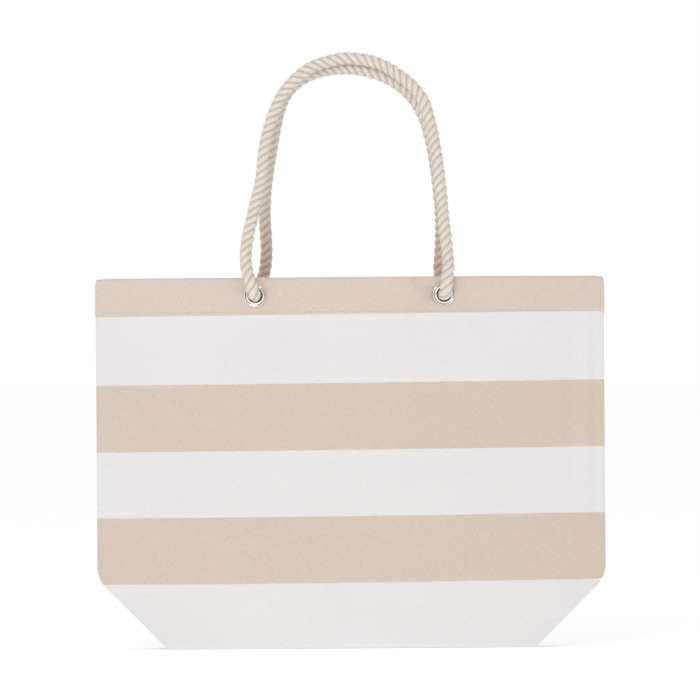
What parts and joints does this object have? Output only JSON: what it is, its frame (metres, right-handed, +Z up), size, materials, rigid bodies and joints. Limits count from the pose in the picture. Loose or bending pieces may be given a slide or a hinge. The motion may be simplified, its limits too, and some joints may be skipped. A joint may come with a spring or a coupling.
{
  "type": "beach bag",
  "caption": "Wide striped canvas beach bag with boxed, pleated-up bottom corners, a hemmed open mouth and twisted rope handles through metal eyelets.",
  "frame": {"origin": "on the ground, under the middle of the bag", "axes": "+Z up, the front panel faces -Y, +X to the right seen from the front"},
  "size_m": [0.54, 0.1048, 0.6321],
  "materials": {
    "striped_canvas": "matte heathered cotton canvas in wide beige and off-white stripes",
    "hem_canvas": "matte heathered beige cotton canvas",
    "base_canvas": "matte off-white cotton canvas",
    "cotton_tape": "matte woven cotton tape",
    "polished_nickel": "polished nickel plate",
    "cotton_rope": "soft three-strand twisted cotton rope with a slight sheen"
  },
  "bodies": {
    "bag": {"front_panel": "striped_canvas", "front_hem_facing": "hem_canvas", "front_base_seam_binding": "cotton_tape", "front_left_eyelet": "polished_nickel", "front_left_eyelet_washer": "polished_nickel", "front_left_rope_end": "cotton_rope", "front_right_eyelet": "polished_nickel", "front_right_eyelet_washer": "polished_nickel", "front_right_rope_end": "cotton_rope", "back_panel": "striped_canvas", "back_hem_facing": "hem_canvas", "back_base_seam_binding": "cotton_tape", "back_left_eyelet": "polished_nickel", "back_left_eyelet_washer": "polished_nickel", "back_left_rope_end": "cotton_rope", "back_right_eyelet": "polished_nickel", "back_right_eyelet_washer": "polished_nickel", "back_right_rope_end": "cotton_rope", "base_panel": "base_canvas", "left_side_seam_binding": "cotton_tape", "left_corner_seam_binding": "cotton_tape", "right_side_seam_binding": "cotton_tape", "right_corner_seam_binding": "cotton_tape"},
    "front_handle": {"front_rope_handle": "cotton_rope"},
    "back_handle": {"back_rope_handle": "cotton_rope"}
  },
  "joints": [
    {"name": "front_handle_swing", "type": "hinge", "parent": "bag", "child": "front_handle", "pos_m": [0, -0.04586, 0.37405], "axis": [1, 0, 0], "range_deg": [0, 180]},
    {"name": "back_handle_swing", "type": "hinge", "parent": "bag", "child": "back_handle", "pos_m": [0, 0.04586, 0.37405], "axis": [-1, 0, 0], "range_deg": [0, 180]}
  ]
}
